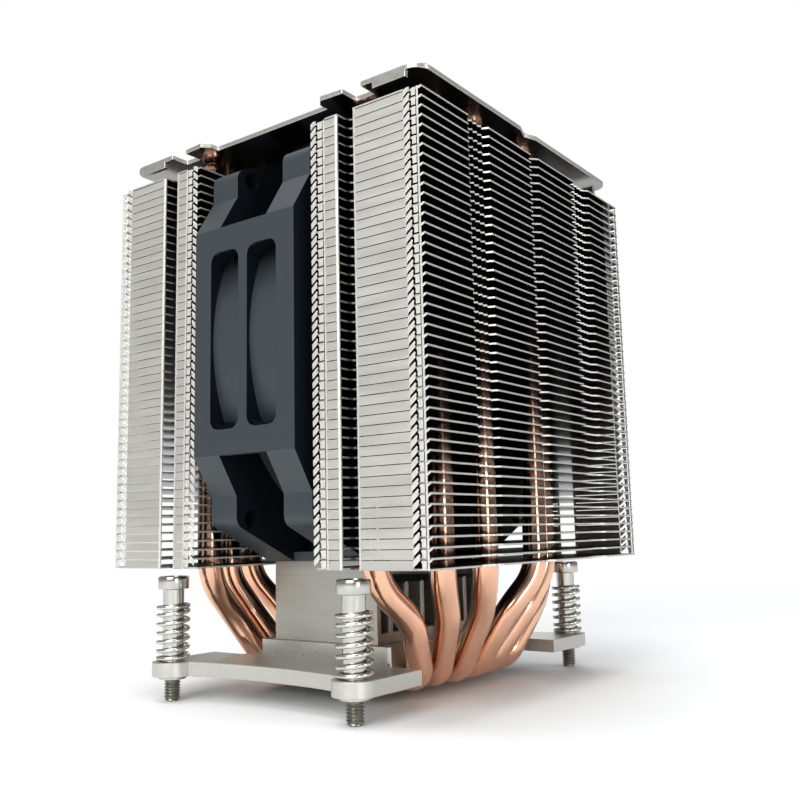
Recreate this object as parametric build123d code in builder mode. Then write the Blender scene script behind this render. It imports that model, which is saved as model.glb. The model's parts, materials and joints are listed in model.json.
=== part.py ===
from build123d import *
from math import cos, radians, sin
import os

# Dual-tower server processor cooler with a fan between two folded-fin stacks.
# +Z is up, away from the processor, and +Y is the fan's axis. The origin is
# the centre of the face that sits on the processor. Sizes are in millimetres.

os.makedirs("parts", exist_ok=True)

# Fin stacks: two towers, mirrored about the fan
STACK_W = 97.7
STACK_OUTER_Y = 48.8
STACK_INNER_Y = 18.8
FIN_COUNT = 48
FIN_T = 0.4
FIN_BOTTOM_Z = 28.3
STACK_TOP_DROP = 5.685
FIN_CORNER = 1.8
CENTRE_NOTCH_W = 5.0
CENTRE_NOTCH_D = 1.5
COMB_X = (21.8, 29.4)
COMB_D = 1.4

# Screwdriver channels down the sides of the stacks
CHANNEL_Y = (26.5, 31.0)
CHANNEL_FLOOR_X = 44.4

# Folded edges that close the sides of each stack
WIDE_FOLD_Y = (31.0, 44.6)
NARROW_FOLD_Y = (23.1, 26.5)

# Base block, with the flattened pipes flush in its contact face
BLOCK_W = 51.0
BLOCK_D = 40.8
BLOCK_H = 10.1
BLOCK_CHAMFER = 0.6

# Heat pipes: base pitch, then foot, elbow and tower places from the middle out
PIPE_R = 3.0
PIPE_PITCH = 7.5
PIPE_FLAT = 0.4
GROOVE_GAP = 0.05
PIPE_TIP_CHAMFER = 1.5
FOOT_OUT = (4.3, 3.6, 3.9)
ELBOW_XY = ((6.0, 33.0), (17.9, 31.4), (27.7, 28.6))
ELBOW_Z = 16.4
SHOULDER_Z = 25.2
TOWER_XY = ((11.8, 38.0), (23.4, 34.0), (37.5, 26.0))
FOOT_BEND_R = 5.0
ELBOW_BEND_R = 6.0
SHOULDER_BEND_R = 6.8

# Extruded fin block under the fan
SINK_W = 49.0
SINK_D = 32.4
SINK_FLOOR_T = 2.6
SINK_WALL_T = 1.5
SINK_FIN_T = 1.5
SINK_FIN_PITCH = 6.4
SINK_FIN_COUNT = 7
SINK_FIN_H = 10.6
SINK_WALL_H = 19.215

# Mounting wings
SCREW_X = 47.0
SCREW_Y = 28.0
WING_T = 3.3
WING_Z = 3.4
BOSS_R = 4.8
WING_WAIST_X = 40.6
ARM_END_X = 30.0
ARM_FOOT_OUT = 2.0
ARM_EDGE_INSET = 0.3
BOSS_TANGENT = 0.1
WAIST_START = 0.8
SHANK_HOLE_GAP = 0.15

# Captive screws, springs and clips
SHANK_R = 2.5
HEAD_R = 3.65
HEAD_H = 3.0
HEAD_TOP_Z = 26.5
HEAD_CHAMFER = 0.5
RECESS_L = 4.4
RECESS_W = 1.0
RECESS_D = 1.7
THREAD_R = 1.9
THREAD_TIP_Z = -2.4
THREAD_CHAMFER = 0.5
NECK_R = 1.45
NECK_GAP = 0.1
CLIP_R = 3.2
CLIP_T = 0.5
CLIP_DROP = 0.2
CLIP_SLOT_W = 1.8
SPRING_R = 3.5
SPRING_WIRE_R = 0.5
SPRING_FREE_H = 13.4
SPRING_TURNS = 5.0
SPRING_SIDES = 6

# Fan frame
FAN_D = 32.0
PANEL_HALF = 51.5
PANEL_RISE = 5.5
PANEL_INSET = 24.6
SLOPE_INSET = 10.0
CORNER_DROP = 3.4
CORNER_R = 3.0
FLANGE_T = 8.5
PANEL_T = 2.2
BORE_EDGE = 1.5
RING_T = 2.1
SLOT_W = 9.2
SLOT_END = 5.9
SLOT_CORNER_R = 2.5
SLOT_DEPTH = 4.4
SLOT_SPACING = 12.0
FAN_HOLE_INSET = 4.75
FAN_HOLE_R = 2.15
MOTOR_BASE_T = 3.0
STRUT_COUNT = 4
STRUT_W = 4.0
STRUT_SINK = 1.0
BEARING_TUBE_R = 5.0

# Fan rotor and motor
HUB_R = 19.0
HUB_WALL = 1.5
HUB_SETBACK = 1.5
HUB_GAP = 1.5
BLADE_COUNT = 7
BLADE_T = 1.4
BLADE_CAMBER = 2.4
BLADE_DEPTH = 23.0
BLADE_ROOT_ANGLE = 32.0
BLADE_TIP_ANGLE = 56.0
BLADE_TIP_GAP = 1.2
MAGNET_T = 2.0
MAGNET_L = 13.0
MAGNET_INSET = 1.0
STATOR_GAP = 0.6
STATOR_H = 9.0
STATOR_LIFT = 1.0
STATOR_POLES = 4
STATOR_SLOT_W = 3.4
STATOR_SLOT_D = 8.0
BLADE_SETBACK = 1.0
SHAFT_END_GAP = 0.5
PCB_T = 1.2
PCB_R = 15.5
BEARING_R = 4.0
BEARING_L = 16.0
SHAFT_R = 1.5
SHAFT_GAP = 0.05

# Top cover
COVER_T = 1.2
COVER_GAP = 0.3
COVER_TAB_X = 46.4
COVER_WAIST_X = 42.6
COVER_NOTCH_X = 41.5
COVER_NOTCH_Y = (26.2, 31.4)
COVER_NARROW_TAB_Y = 18.4
COVER_TAB_FLARE = 0.4
COVER_TAB_CHAMFER = (1.4, 1.6)
COVER_HOLLOW_HALF_W = 4.0
COVER_EDGE_Y = 47.5
COVER_HOLLOW = 1.3
COVER_CORNER_R = 4.0
COVER_LIP_H = 1.5
COVER_LIP_Y = (34.5, 43.5)

# How far a cutting shape runs past the piece that it cuts
CUT_MARGIN = 1.0

# Levels worked out from the sizes above
PIPE_Z = PIPE_R - PIPE_FLAT
FOOT_Y = tuple(BLOCK_D / 2 + out for out in FOOT_OUT)
FAN_BOTTOM_Z = BLOCK_H + SINK_WALL_H
FAN_Z = FAN_BOTTOM_Z + PANEL_HALF
COVER_Z = FAN_Z + PANEL_HALF + COVER_GAP
STACK_H = COVER_Z - STACK_TOP_DROP - FIN_BOTTOM_Z
FIN_PITCH = (STACK_H - FIN_T) / (FIN_COUNT - 1)
STACK_D = STACK_OUTER_Y - STACK_INNER_Y
STACK_MID_Y = (STACK_OUTER_Y + STACK_INNER_Y) / 2
FAN_HALF = PANEL_HALF - PANEL_RISE
PANEL_FLAT = PANEL_HALF - PANEL_INSET
SLOPE_END = FAN_HALF - SLOPE_INSET
BORE_R = FAN_HALF - BORE_EDGE
FAN_HOLE_SPACING = 2 * (FAN_HALF - FAN_HOLE_INSET)
SLOT_L = 2 * (PANEL_FLAT - SLOT_END)
WING_TOP_Z = WING_Z + WING_T
CLIP_Z = WING_Z - CLIP_DROP - CLIP_T
NECK_BOTTOM_Z = CLIP_Z - NECK_GAP
NECK_TOP_Z = CLIP_Z + CLIP_T + NECK_GAP
FAN_FRONT_Y = -FAN_D / 2
MOTOR_BASE_Y = FAN_D / 2 - MOTOR_BASE_T
HUB_FRONT_Y = FAN_FRONT_Y + HUB_SETBACK
HUB_REAR_Y = MOTOR_BASE_Y - HUB_GAP
HUB_CAVITY_R = HUB_R - HUB_WALL
SCREW_PLACES = (
    (-SCREW_X, -SCREW_Y),
    (SCREW_X, -SCREW_Y),
    (SCREW_X, SCREW_Y),
    (-SCREW_X, SCREW_Y),
)


def across_fan(y):
    """The plane square to the fan's axis at depth y, with its own Z along +Y."""
    return Plane(origin=(0, y, FAN_Z), x_dir=(1, 0, 0), z_dir=(0, 1, 0))


# Base block: six grooves hold the heat pipes and open in the contact face
with BuildPart() as base_block:
    with BuildSketch():
        Rectangle(BLOCK_W, BLOCK_D)
    extrude(amount=BLOCK_H)
    chamfer(base_block.edges().filter_by(Axis.Z), BLOCK_CHAMFER)
    with BuildSketch(Plane.XZ) as grooves:
        with GridLocations(PIPE_PITCH, 0, 6, 1):
            with Locations((0, PIPE_Z)):
                Circle(PIPE_R + GROOVE_GAP)
    extrude(amount=BLOCK_D, both=True, mode=Mode.SUBTRACT)

base_block.part.label = "base_block"
export_step(base_block.part, "parts/base_block.step")

# Extruded fin block: two tall walls carry the fan, low fins between them
with BuildPart() as base_heatsink:
    with BuildSketch(Plane.XZ.offset(-SINK_D / 2)) as sink_profile:
        floor_z = BLOCK_H + SINK_FLOOR_T / 2
        with Locations((0, floor_z)):
            Rectangle(SINK_W, SINK_FLOOR_T)
        with Locations((0, BLOCK_H + SINK_WALL_H / 2)):
            with GridLocations(SINK_W - SINK_WALL_T, 0, 2, 1):
                Rectangle(SINK_WALL_T, SINK_WALL_H)
        with Locations((0, BLOCK_H + SINK_FLOOR_T + SINK_FIN_H / 2)):
            with GridLocations(SINK_FIN_PITCH, 0, SINK_FIN_COUNT, 1):
                SlotOverall(SINK_FIN_H + SINK_FIN_T, SINK_FIN_T, rotation=90)
    extrude(amount=SINK_D)

base_heatsink.part.label = "base_heatsink"
export_step(base_heatsink.part, "parts/base_heatsink.step")

# Mounting wings: one plate on each side of the block, with a boss at each end
with BuildPart() as mounting_wing_right:
    with BuildSketch(Plane.XY.offset(WING_Z)):
        boss_side_x = SCREW_X + BOSS_R - BOSS_TANGENT
        with BuildLine():
            Polyline(
                (BLOCK_W / 2, 0),
                (BLOCK_W / 2, BLOCK_D / 2),
                (ARM_END_X, BLOCK_D / 2 + ARM_FOOT_OUT),
                (ARM_END_X, SCREW_Y + BOSS_R - ARM_EDGE_INSET),
                (SCREW_X - WAIST_START, SCREW_Y + BOSS_R - BOSS_TANGENT),
                (boss_side_x, SCREW_Y + WAIST_START),
            )
            mirror(about=Plane.XZ)
            ThreePointArc(
                (boss_side_x, SCREW_Y + WAIST_START),
                (WING_WAIST_X, 0),
                (boss_side_x, -SCREW_Y - WAIST_START),
            )
        make_face()
        with GridLocations(0, 2 * SCREW_Y, 1, 2):
            with Locations((SCREW_X, 0)):
                Circle(BOSS_R)
                Circle(SHANK_R + SHANK_HOLE_GAP, mode=Mode.SUBTRACT)
    extrude(amount=WING_T)

mounting_wing_right.part.label = "mounting_wing_right"
export_step(mounting_wing_right.part, "parts/mounting_wing_right.step")

with BuildPart() as mounting_wing_left:
    mirror(mounting_wing_right.part, about=Plane.YZ)

mounting_wing_left.part.label = "mounting_wing_left"
export_step(mounting_wing_left.part, "parts/mounting_wing_left.step")

# Heat pipes: each runs under the block along Y and climbs into both towers
for number in range(6):
    side = -1 if number < 3 else 1
    rank = 2 - number if number < 3 else number - 3
    base_x = side * (rank + 0.5) * PIPE_PITCH
    elbow_x, elbow_y = ELBOW_XY[rank]
    tower_x, tower_y = TOWER_XY[rank]
    rear_half = [
        (base_x, FOOT_Y[rank], PIPE_Z),
        (side * elbow_x, elbow_y, ELBOW_Z),
        (side * tower_x, tower_y, SHOULDER_Z),
        (side * tower_x, tower_y, COVER_Z),
    ]
    front_half = [(x, -y, z) for x, y, z in reversed(rear_half)]
    bends = [SHOULDER_BEND_R, ELBOW_BEND_R, FOOT_BEND_R]
    with BuildPart() as heat_pipe:
        with BuildLine() as route:
            FilletPolyline(*front_half, *rear_half, radius=bends + bends[::-1])
        with BuildSketch(Plane(origin=front_half[0], z_dir=(0, 0, -1))):
            Circle(PIPE_R)
        sweep()
        with BuildSketch():
            Rectangle(2 * BLOCK_W, 2 * BLOCK_D)
        extrude(amount=-PIPE_R, mode=Mode.SUBTRACT)
        tips = heat_pipe.edges().filter_by(GeomType.CIRCLE).group_by(Axis.Z)[-1]
        chamfer(tips, PIPE_TIP_CHAMFER)

    heat_pipe.part.label = f"heat_pipe_{number + 1}"
    export_step(heat_pipe.part, f"parts/heat_pipe_{number + 1}.step")

# Fin stacks: 48 fins joined by the folds along their sides. The heat pipes
# are pressed through the fins, so the bores are the pipes' own surfaces.
with BuildPart() as front_fin_stack:
    with BuildSketch(Plane.XY.offset(FIN_BOTTOM_Z)):
        with BuildLine():
            Polyline(
                (0, -STACK_OUTER_Y + CENTRE_NOTCH_D),
                (CENTRE_NOTCH_W / 2, -STACK_OUTER_Y),
                (COMB_X[0], -STACK_OUTER_Y),
                (COMB_X[0] + COMB_D, -STACK_OUTER_Y + COMB_D),
                (COMB_X[1], -STACK_OUTER_Y + COMB_D),
                (COMB_X[1], -STACK_OUTER_Y),
                (STACK_W / 2 - FIN_CORNER, -STACK_OUTER_Y),
                (STACK_W / 2, -STACK_OUTER_Y + FIN_CORNER),
                (STACK_W / 2, -CHANNEL_Y[1]),
                (CHANNEL_FLOOR_X, -CHANNEL_Y[1]),
                (CHANNEL_FLOOR_X, -CHANNEL_Y[0]),
                (STACK_W / 2, -CHANNEL_Y[0]),
                (STACK_W / 2, -STACK_INNER_Y),
                (0, -STACK_INNER_Y),
            )
            mirror(about=Plane.YZ)
        make_face()
    extrude(amount=STACK_H)
    for gap in range(FIN_COUNT - 1):
        gap_z = FIN_BOTTOM_Z + FIN_T + gap * FIN_PITCH
        with BuildSketch(Plane.XY.offset(gap_z)):
            with Locations((0, -STACK_MID_Y)):
                Rectangle(STACK_W + 2 * CUT_MARGIN, STACK_D + 2 * CUT_MARGIN)
            for low, high in (WIDE_FOLD_Y, NARROW_FOLD_Y):
                with Locations((0, -(low + high) / 2)):
                    with GridLocations(STACK_W + 2 * CUT_MARGIN - FIN_T, 0, 2, 1):
                        Rectangle(FIN_T + 2 * CUT_MARGIN, high - low, mode=Mode.SUBTRACT)
    extrude(amount=FIN_PITCH - FIN_T, mode=Mode.SUBTRACT)

front_fin_stack.part.label = "front_fin_stack"
export_step(front_fin_stack.part, "parts/front_fin_stack.step")

with BuildPart() as rear_fin_stack:
    mirror(front_fin_stack.part, about=Plane.XZ)

rear_fin_stack.part.label = "rear_fin_stack"
export_step(rear_fin_stack.part, "parts/rear_fin_stack.step")

# Top cover: a plate on the pipe tips, notched for the screwdriver channels
with BuildPart() as top_cover:
    with BuildSketch(Plane.XY.offset(COVER_Z)) as cover_outline:
        with BuildLine():
            Polyline(
                (0, COVER_EDGE_Y - COVER_HOLLOW),
                (COVER_HOLLOW_HALF_W, COVER_EDGE_Y),
                (COVER_TAB_X, COVER_EDGE_Y),
                (COVER_TAB_X, COVER_NOTCH_Y[1]),
                (COVER_NOTCH_X, COVER_NOTCH_Y[1]),
                (COVER_NOTCH_X, COVER_NOTCH_Y[0]),
                (COVER_TAB_X, COVER_NOTCH_Y[0]),
                (COVER_TAB_X + COVER_TAB_FLARE, COVER_NARROW_TAB_Y + COVER_TAB_CHAMFER[1]),
                (COVER_TAB_X - COVER_TAB_CHAMFER[0], COVER_NARROW_TAB_Y),
                (COVER_WAIST_X, COVER_NARROW_TAB_Y),
                (COVER_WAIST_X, 0),
            )
            mirror(about=Plane.XZ)
            mirror(about=Plane.YZ)
        make_face()
        corners = cover_outline.vertices().group_by(lambda v: abs(v.Y))[-1]
        outer = [v for v in corners if abs(v.X) > COVER_WAIST_X]
        fillet(outer, COVER_CORNER_R)
    extrude(amount=COVER_T)
    with BuildSketch(Plane.XY.offset(COVER_Z)):
        lip_y = (COVER_LIP_Y[0] + COVER_LIP_Y[1]) / 2
        with GridLocations(2 * COVER_TAB_X - COVER_T, 2 * lip_y, 2, 2):
            Rectangle(COVER_T, COVER_LIP_Y[1] - COVER_LIP_Y[0])
    extrude(amount=-COVER_LIP_H)

top_cover.part.label = "top_cover"
export_step(top_cover.part, "parts/top_cover.step")

# Fan frame: two flanges, a round duct and four slotted side panels
with BuildPart() as fan_frame:
    with BuildSketch(across_fan(FAN_FRONT_Y)) as frame_outline:
        with BuildLine():
            Polyline(
                (PANEL_HALF, 0),
                (PANEL_HALF, PANEL_FLAT),
                (FAN_HALF, SLOPE_END),
                (FAN_HALF, FAN_HALF - CORNER_DROP),
                (PANEL_FLAT, PANEL_HALF),
                (0, PANEL_HALF),
            )
            mirror(about=Plane.XZ)
            mirror(about=Plane.YZ)
        make_face()
        corner_reach = Vector(FAN_HALF, FAN_HALF - CORNER_DROP).length
        corners = [v for v in frame_outline.vertices() if abs(v.center().length - corner_reach) < 0.01]
        fillet(corners, CORNER_R)
    extrude(amount=FAN_D)
    with BuildSketch(across_fan(FAN_FRONT_Y + FLANGE_T)):
        Rectangle(2 * PANEL_HALF + CUT_MARGIN, 2 * PANEL_HALF + CUT_MARGIN)
        with GridLocations(2 * PANEL_HALF - PANEL_T, 0, 2, 1):
            Rectangle(PANEL_T, 2 * PANEL_FLAT, mode=Mode.SUBTRACT)
        with GridLocations(0, 2 * PANEL_HALF - PANEL_T, 1, 2):
            Rectangle(2 * PANEL_FLAT, PANEL_T, mode=Mode.SUBTRACT)
        Circle(BORE_R + RING_T, mode=Mode.SUBTRACT)
    extrude(amount=FAN_D - 2 * FLANGE_T, mode=Mode.SUBTRACT)
    with BuildSketch(across_fan(FAN_FRONT_Y)):
        Circle(BORE_R)
        with GridLocations(FAN_HOLE_SPACING, FAN_HOLE_SPACING, 2, 2):
            Circle(FAN_HOLE_R)
    extrude(amount=FAN_D, mode=Mode.SUBTRACT)
    for turn in range(4):
        out = (cos(radians(90 * turn)), 0, sin(radians(90 * turn)))
        centre = (PANEL_HALF * out[0], 0, FAN_Z + PANEL_HALF * out[2])
        with BuildSketch(Plane(origin=centre, x_dir=(0, 1, 0), z_dir=out)):
            with GridLocations(SLOT_SPACING, 0, 2, 1):
                RectangleRounded(SLOT_W, SLOT_L, SLOT_CORNER_R)
        extrude(amount=-SLOT_DEPTH, mode=Mode.SUBTRACT)
    with BuildSketch(across_fan(MOTOR_BASE_Y)):
        Circle(HUB_R)
        with PolarLocations((HUB_R + BORE_R) / 2, STRUT_COUNT, 45):
            Rectangle(BORE_R - HUB_R + 2 * STRUT_SINK, STRUT_W)
    extrude(amount=MOTOR_BASE_T)
    with BuildSketch(across_fan(MOTOR_BASE_Y)):
        Circle(BEARING_TUBE_R)
    extrude(amount=-BEARING_L)
    with BuildSketch(across_fan(MOTOR_BASE_Y)):
        Circle(BEARING_R)
    extrude(amount=-BEARING_L, mode=Mode.SUBTRACT)

fan_frame.part.label = "fan_frame"
export_step(fan_frame.part, "parts/fan_frame.step")

# Rotor: cambered blades trimmed to the duct, on a cup that holds the magnet
with BuildPart() as impeller:
    blade_mid_y = HUB_FRONT_Y + BLADE_SETBACK + BLADE_DEPTH / 2
    for blade in range(BLADE_COUNT):
        turn = 360 * blade / BLADE_COUNT
        out = (cos(radians(turn)), 0, sin(radians(turn)))
        for reach, angle in ((HUB_R / 2, BLADE_ROOT_ANGLE), (BORE_R, BLADE_TIP_ANGLE)):
            centre = (reach * out[0], blade_mid_y, FAN_Z + reach * out[2])
            chord = BLADE_DEPTH / cos(radians(angle))
            section = Plane(origin=centre, x_dir=(0, 1, 0), z_dir=out)
            with BuildSketch(section.rotated((0, 0, angle))):
                with BuildLine():
                    for bulge in (BLADE_CAMBER + BLADE_T / 2, BLADE_CAMBER - BLADE_T / 2):
                        ThreePointArc((-chord / 2, 0), (0, bulge), (chord / 2, 0))
                make_face()
        loft()
    with BuildSketch(across_fan(HUB_FRONT_Y)):
        Circle(BORE_R - BLADE_TIP_GAP)
    extrude(amount=HUB_REAR_Y - HUB_FRONT_Y, mode=Mode.INTERSECT)
    with BuildSketch(across_fan(HUB_FRONT_Y)):
        Circle(HUB_R)
    extrude(amount=HUB_REAR_Y - HUB_FRONT_Y)
    with BuildSketch(across_fan(HUB_FRONT_Y + HUB_WALL)):
        Circle(HUB_CAVITY_R)
    extrude(amount=HUB_REAR_Y - HUB_FRONT_Y, mode=Mode.SUBTRACT)

impeller.part.label = "impeller"
export_step(impeller.part, "parts/impeller.step")

# Shaft, magnet ring, bearing, stator and circuit board inside the hub
with BuildPart() as fan_shaft:
    with BuildSketch(across_fan(HUB_FRONT_Y + HUB_WALL)):
        Circle(SHAFT_R)
    extrude(amount=MOTOR_BASE_Y - HUB_FRONT_Y - HUB_WALL - SHAFT_END_GAP)

fan_shaft.part.label = "fan_shaft"
export_step(fan_shaft.part, "parts/fan_shaft.step")

with BuildPart() as magnet_ring:
    with BuildSketch(across_fan(HUB_REAR_Y - MAGNET_INSET - MAGNET_L)):
        Circle(HUB_CAVITY_R)
        Circle(HUB_CAVITY_R - MAGNET_T, mode=Mode.SUBTRACT)
    extrude(amount=MAGNET_L)

magnet_ring.part.label = "magnet_ring"
export_step(magnet_ring.part, "parts/magnet_ring.step")

with BuildPart() as fan_bearing:
    with BuildSketch(across_fan(MOTOR_BASE_Y - BEARING_L)):
        Circle(BEARING_R)
        Circle(SHAFT_R + SHAFT_GAP, mode=Mode.SUBTRACT)
    extrude(amount=BEARING_L)

fan_bearing.part.label = "fan_bearing"
export_step(fan_bearing.part, "parts/fan_bearing.step")

with BuildPart() as fan_stator:
    with BuildSketch(across_fan(MOTOR_BASE_Y - BEARING_L + STATOR_LIFT)):
        stator_r = HUB_CAVITY_R - MAGNET_T - STATOR_GAP
        Circle(stator_r)
        Circle(BEARING_TUBE_R, mode=Mode.SUBTRACT)
        with PolarLocations(stator_r, STATOR_POLES):
            Rectangle(2 * STATOR_SLOT_D, STATOR_SLOT_W, mode=Mode.SUBTRACT)
    extrude(amount=STATOR_H)

fan_stator.part.label = "fan_stator"
export_step(fan_stator.part, "parts/fan_stator.step")

with BuildPart() as fan_pcb:
    with BuildSketch(across_fan(MOTOR_BASE_Y - PCB_T)):
        Circle(PCB_R)
        Circle(BEARING_TUBE_R, mode=Mode.SUBTRACT)
    extrude(amount=PCB_T)

fan_pcb.part.label = "fan_pcb"
export_step(fan_pcb.part, "parts/fan_pcb.step")

# Captive screws: each hangs in its boss on a clip and pushes on a spring
for number, (x, y) in enumerate(SCREW_PLACES, start=1):
    with BuildPart() as captive_screw:
        with BuildSketch(Plane(origin=(x, y, 0), x_dir=(1, 0, 0), z_dir=(0, -1, 0))):
            with BuildLine():
                Polyline(
                    (0, THREAD_TIP_Z),
                    (THREAD_R - THREAD_CHAMFER, THREAD_TIP_Z),
                    (THREAD_R, THREAD_TIP_Z + THREAD_CHAMFER),
                    (THREAD_R, NECK_BOTTOM_Z),
                    (NECK_R, NECK_BOTTOM_Z),
                    (NECK_R, NECK_TOP_Z),
                    (SHANK_R, NECK_TOP_Z),
                    (SHANK_R, HEAD_TOP_Z - HEAD_H),
                    (HEAD_R, HEAD_TOP_Z - HEAD_H),
                    (HEAD_R, HEAD_TOP_Z - HEAD_CHAMFER),
                    (HEAD_R - HEAD_CHAMFER, HEAD_TOP_Z),
                    (0, HEAD_TOP_Z),
                    close=True,
                )
            make_face()
        revolve(axis=Axis((x, y, 0), (0, 0, 1)))
        with BuildSketch(Plane.XY.offset(HEAD_TOP_Z - RECESS_D)):
            with Locations((x, y)):
                Rectangle(RECESS_L, RECESS_W)
                Rectangle(RECESS_W, RECESS_L)
        extrude(amount=RECESS_D, mode=Mode.SUBTRACT)

    captive_screw.part.label = f"captive_screw_{number}"
    export_step(captive_screw.part, f"parts/captive_screw_{number}.step")

    with BuildPart() as retaining_clip:
        with BuildSketch(Plane.XY.offset(CLIP_Z)):
            with Locations((x, y)):
                Circle(CLIP_R)
                Circle(NECK_R + NECK_GAP, mode=Mode.SUBTRACT)
            with Locations((x, y + CLIP_R)):
                Rectangle(CLIP_SLOT_W, 2 * CLIP_R, mode=Mode.SUBTRACT)
        extrude(amount=CLIP_T)

    retaining_clip.part.label = f"retaining_clip_{number}"
    export_step(retaining_clip.part, f"parts/retaining_clip_{number}.step")

    with BuildPart() as spring:
        coil_h = SPRING_FREE_H - 2 * SPRING_WIRE_R
        with BuildLine() as coil:
            Helix(
                pitch=coil_h / SPRING_TURNS,
                height=coil_h,
                radius=SPRING_R,
                center=(x, y, WING_TOP_Z + SPRING_WIRE_R),
            )
        with BuildSketch(Plane(origin=coil.line @ 0, z_dir=coil.line % 0)):
            RegularPolygon(SPRING_WIRE_R, SPRING_SIDES)
        sweep(is_frenet=True)

    spring.part.label = f"spring_{number}"
    export_step(spring.part, f"parts/spring_{number}.step")
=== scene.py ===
import json
import math

import bmesh
import bpy
from mathutils import Matrix, Vector


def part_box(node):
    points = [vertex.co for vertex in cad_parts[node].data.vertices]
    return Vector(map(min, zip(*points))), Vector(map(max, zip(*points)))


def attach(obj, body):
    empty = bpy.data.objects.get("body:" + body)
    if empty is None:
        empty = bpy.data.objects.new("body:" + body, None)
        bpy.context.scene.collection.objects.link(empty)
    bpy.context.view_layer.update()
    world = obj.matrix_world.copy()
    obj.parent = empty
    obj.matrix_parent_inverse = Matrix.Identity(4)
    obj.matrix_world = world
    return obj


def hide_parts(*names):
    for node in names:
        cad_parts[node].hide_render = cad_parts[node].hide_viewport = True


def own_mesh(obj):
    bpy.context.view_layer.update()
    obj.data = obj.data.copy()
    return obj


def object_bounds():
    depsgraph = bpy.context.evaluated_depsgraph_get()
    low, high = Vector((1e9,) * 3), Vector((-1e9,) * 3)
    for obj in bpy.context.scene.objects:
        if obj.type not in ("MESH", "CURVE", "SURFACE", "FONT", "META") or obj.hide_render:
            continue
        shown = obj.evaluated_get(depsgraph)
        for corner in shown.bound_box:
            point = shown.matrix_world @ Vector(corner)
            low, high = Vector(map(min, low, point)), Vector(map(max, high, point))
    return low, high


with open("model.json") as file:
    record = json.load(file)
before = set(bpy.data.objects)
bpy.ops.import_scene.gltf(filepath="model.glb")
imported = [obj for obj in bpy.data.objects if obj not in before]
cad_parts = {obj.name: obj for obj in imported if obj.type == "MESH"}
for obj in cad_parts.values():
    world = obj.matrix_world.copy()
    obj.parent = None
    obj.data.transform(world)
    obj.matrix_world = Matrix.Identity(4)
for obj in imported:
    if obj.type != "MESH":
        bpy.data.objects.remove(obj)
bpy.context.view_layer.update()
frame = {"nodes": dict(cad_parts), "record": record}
nodes = frame["nodes"]
body_of = {n: b for b, ns in frame["record"]["behaviour"]["bodies"].items() for n in ns}
slot_of = {s["node"]: s["material_slot"] for s in frame["record"]["subparts"]}
MM = 0.001

# Fins, in millimetres: their number, outer size, places and channel follow the part's
# source, and their corners, teeth, folds and locking tabs follow the photograph
FIN_COUNT = 48
FIN_PITCH = 2.09
FIN_T = 0.4
STACK_X = 48.85
OUTER_Y = 48.8
INNER_Y = 18.8
FIN_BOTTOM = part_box("front_fin_stack")[0].z / MM
STACK_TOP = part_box("front_fin_stack")[1].z / MM
FIN_CORNER = (0.7, 1.0)
SIDE_INSET = 0.12
NOTCH_HALF_W = (0.4, 1.9)
NOTCH_D = 1.4
COMB_START_X = 21.6
TOOTH_X = (22.2, 24.1, 26.0, 27.9)
TOOTH_W = 1.3
TOOTH_D = (1.5, 0.9)
COMB_END = ((29.6, 0.5), (30.2, 0.0))
CHANNEL_Y = (26.5, 31.0)
CHANNEL_X = 44.4
CHANNEL_CORNER = ((1.6, 0.0), (0.6, 0.5), (0.0, 1.6))
CHANNEL_MOUTH_X = STACK_X - 1

# Folds along a fin's side, with a gap to the next fin and a rim at one end
WIDE_FOLD = (31.0, 44.6)
NARROW_FOLD = (22.9, 26.5)
SEAM = 0.14
RIM = 0.6
RIM_CORNER = (0.45, 0.12)
RIM_EASE = 0.06
LEAN = 0.13
FOLD_EDGE = 0.07
SKIN = 0.02

# Columns of interlocking tabs beside the folds
OUTER_LOCK = (44.6, 48.4)
INNER_LOCK = (18.8, 22.9)
LOCK_T = 0.15
LOCK_DEPTH = 1.1
LOCK_EDGE = 0.04
TAB_W = 1.75
TAB_RISE = 1.25
TAB_FOOT = 0.7
TAB_GAP = 0.22
STRIP_GAP = 0.35
STRIP_END = 0.68
STRIP_FOOT = 0.3
LOCK_RIM_W = 0.45
LOCK_RIM_FOOT = 0.03

# Hooked bar from a fin's rim to its outer corner, one fin up
HOOK_W = 0.3
HOOK_HALF_H = 0.16
HOOK_ROOT_INSET = 0.1
HOOK_ROOT_DROP = 0.45
HOOK_TIP_IN = 1.0
HOOK_TIP_RISE = 0.24

# Camera: fitted to three screws and the fin stacks' edges in the photograph
FRAME_PX = 800
FOCAL_PX = 927.96
SENSOR_MM = 36.0
EYE = Vector((-195.68, -151.69, 35.87)) * MM
YAW = math.radians(53.30)
PITCH = math.radians(8.08)
ROLL = math.radians(-1.23)


# Materials

GRAIN_DETAIL = 4
SPREAD_RANGE = (0.3, 0.7)
BUMP_HEIGHT = 0.05
DULL_SPECULAR = 0.1
NICKEL = (0.62, 0.615, 0.575)
PLASTIC = (0.027, 0.036, 0.043)
# The frame's plastic darkened to near-black, used as painted shade
SHADE_PLASTIC = (0.004, 0.006, 0.009)


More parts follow.
